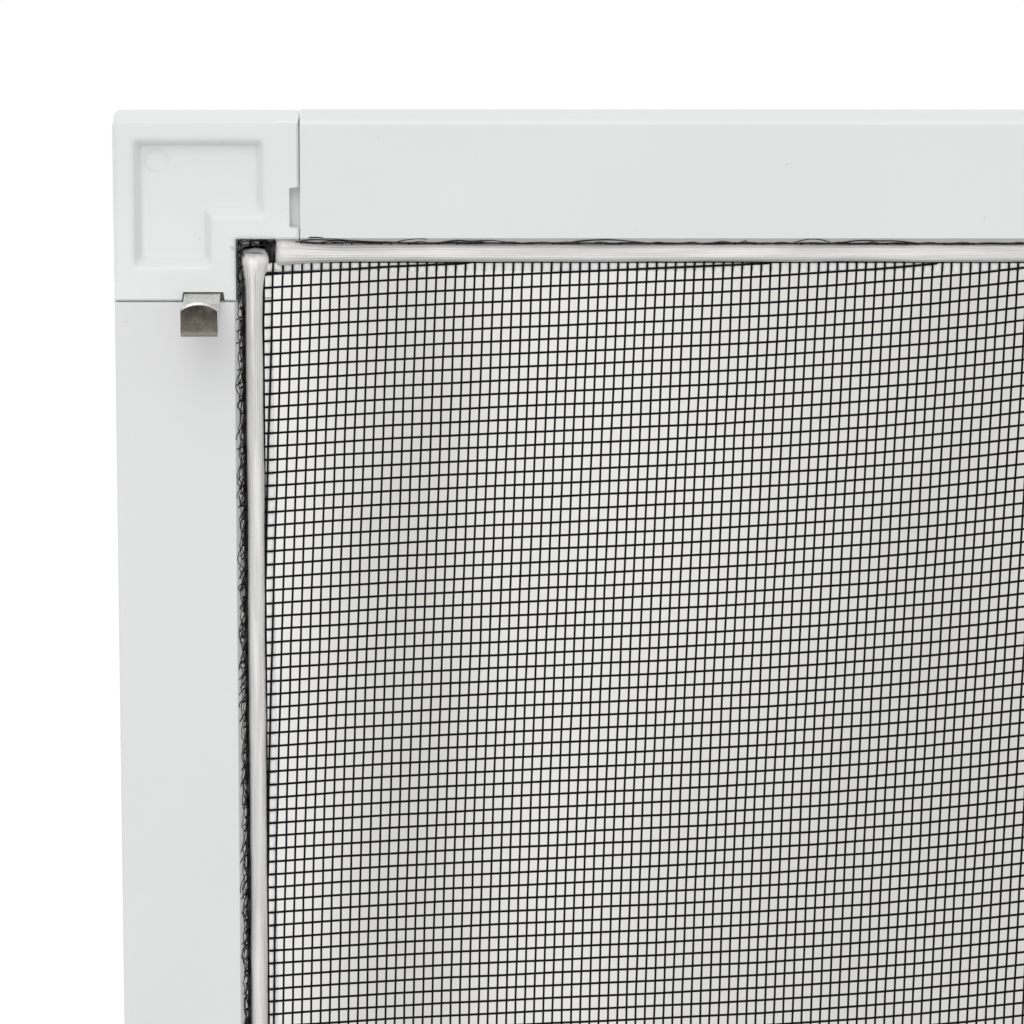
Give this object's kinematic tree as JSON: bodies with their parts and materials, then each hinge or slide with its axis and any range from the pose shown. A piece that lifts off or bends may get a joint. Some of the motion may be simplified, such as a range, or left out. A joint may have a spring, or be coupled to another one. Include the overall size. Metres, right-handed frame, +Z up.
{
  "type": "window insect screen",
  "caption": "Rectangular aluminium insect-screen frame with moulded plug-in corners, black mesh held by a ribbed spline in a groove, and steel strip hooks that grip a window frame.",
  "frame": {"origin": "middle of the bottom edge, half way through the frame's depth", "axes": "+Z up along the tall sides, +X to the right, -Y the front, the side of the spline and the hooks, which lies against the window frame"},
  "size_m": [0.8, 0.022, 1],
  "materials": {
    "white_coat": "white powder coat on extruded aluminium, satin",
    "white_moulding": "white moulded plastic, satin",
    "spline_vinyl": "off-white ribbed vinyl bead",
    "black_mesh": "black vinyl-coated glass-fibre insect mesh",
    "hook_steel": "stainless strip, satin"
  },
  "bodies": {
    "root": {"left_profile": "white_coat", "top_profile": "white_coat", "right_profile": "white_coat", "bottom_profile": "white_coat", "corner_top_left": "white_moulding", "corner_top_right": "white_moulding", "corner_bottom_left": "white_moulding", "corner_bottom_right": "white_moulding", "spline_left": "spline_vinyl", "spline_top": "spline_vinyl", "spline_right": "spline_vinyl", "spline_bottom": "spline_vinyl", "insect_mesh": "black_mesh", "hook_top_left": "hook_steel", "hook_top_right": "hook_steel", "hook_bottom_right": "hook_steel", "hook_bottom_left": "hook_steel"}
  },
  "joints": []
}
